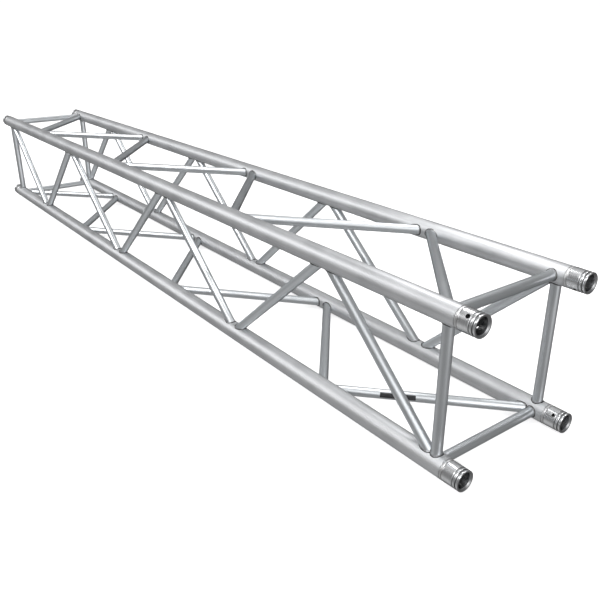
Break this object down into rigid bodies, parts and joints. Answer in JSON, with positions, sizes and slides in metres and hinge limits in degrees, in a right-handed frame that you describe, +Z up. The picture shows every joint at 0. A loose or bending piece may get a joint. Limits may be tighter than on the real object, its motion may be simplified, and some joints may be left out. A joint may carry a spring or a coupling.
{
  "type": "lighting truss section",
  "caption": "Straight square truss section of welded aluminium tube, with zigzag bracing on every side and a tapered pin connector at each chord end.",
  "frame": {"origin": "middle of the footprint, on the surface that the lower chords lie on", "axes": "+X along the chords to the right end, +Y across to the back, +Z up"},
  "size_m": [3, 0.4, 0.4],
  "materials": {
    "chord_tube": "satin mill-finish extruded tube",
    "brace_tube": "satin mill-finish drawn tube",
    "connector": "bright turned",
    "weld": "as welded, fine ripples",
    "label": "blank dark printed film"
  },
  "bodies": {
    "root": {"chord_front_top": "chord_tube", "chord_front_bottom": "chord_tube", "chord_back_bottom": "chord_tube", "chord_back_top": "chord_tube", "connector_front_top_right": "connector", "connector_front_top_left": "connector", "connector_front_bottom_right": "connector", "connector_front_bottom_left": "connector", "connector_back_bottom_right": "connector", "connector_back_bottom_left": "connector", "connector_back_top_right": "connector", "connector_back_top_left": "connector", "weld_ring_front_top_right": "weld", "weld_ring_front_top_left": "weld", "weld_ring_front_bottom_right": "weld", "weld_ring_front_bottom_left": "weld", "weld_ring_back_bottom_right": "weld", "weld_ring_back_bottom_left": "weld", "weld_ring_back_top_right": "weld", "weld_ring_back_top_left": "weld", "end_bar_top_right": "brace_tube", "end_bar_top_left": "brace_tube", "diagonal_top_1": "brace_tube", "diagonal_top_2": "brace_tube", "diagonal_top_3": "brace_tube", "diagonal_top_4": "brace_tube", "diagonal_top_5": "brace_tube", "diagonal_top_6": "brace_tube", "diagonal_top_7": "brace_tube", "end_bar_front_right": "brace_tube", "end_bar_front_left": "brace_tube", "diagonal_front_1": "brace_tube", "diagonal_front_2": "brace_tube", "diagonal_front_3": "brace_tube", "diagonal_front_4": "brace_tube", "diagonal_front_5": "brace_tube", "diagonal_front_6": "brace_tube", "diagonal_front_7": "brace_tube", "end_bar_bottom_right": "brace_tube", "end_bar_bottom_left": "brace_tube", "diagonal_bottom_1": "brace_tube", "diagonal_bottom_2": "brace_tube", "diagonal_bottom_3": "brace_tube", "diagonal_bottom_4": "brace_tube", "diagonal_bottom_5": "brace_tube", "diagonal_bottom_6": "brace_tube", "diagonal_bottom_7": "brace_tube", "end_bar_back_right": "brace_tube", "end_bar_back_left": "brace_tube", "diagonal_back_1": "brace_tube", "diagonal_back_2": "brace_tube", "diagonal_back_3": "brace_tube", "diagonal_back_4": "brace_tube", "diagonal_back_5": "brace_tube", "diagonal_back_6": "brace_tube", "diagonal_back_7": "brace_tube", "identification_label": "label"}
  },
  "joints": []
}
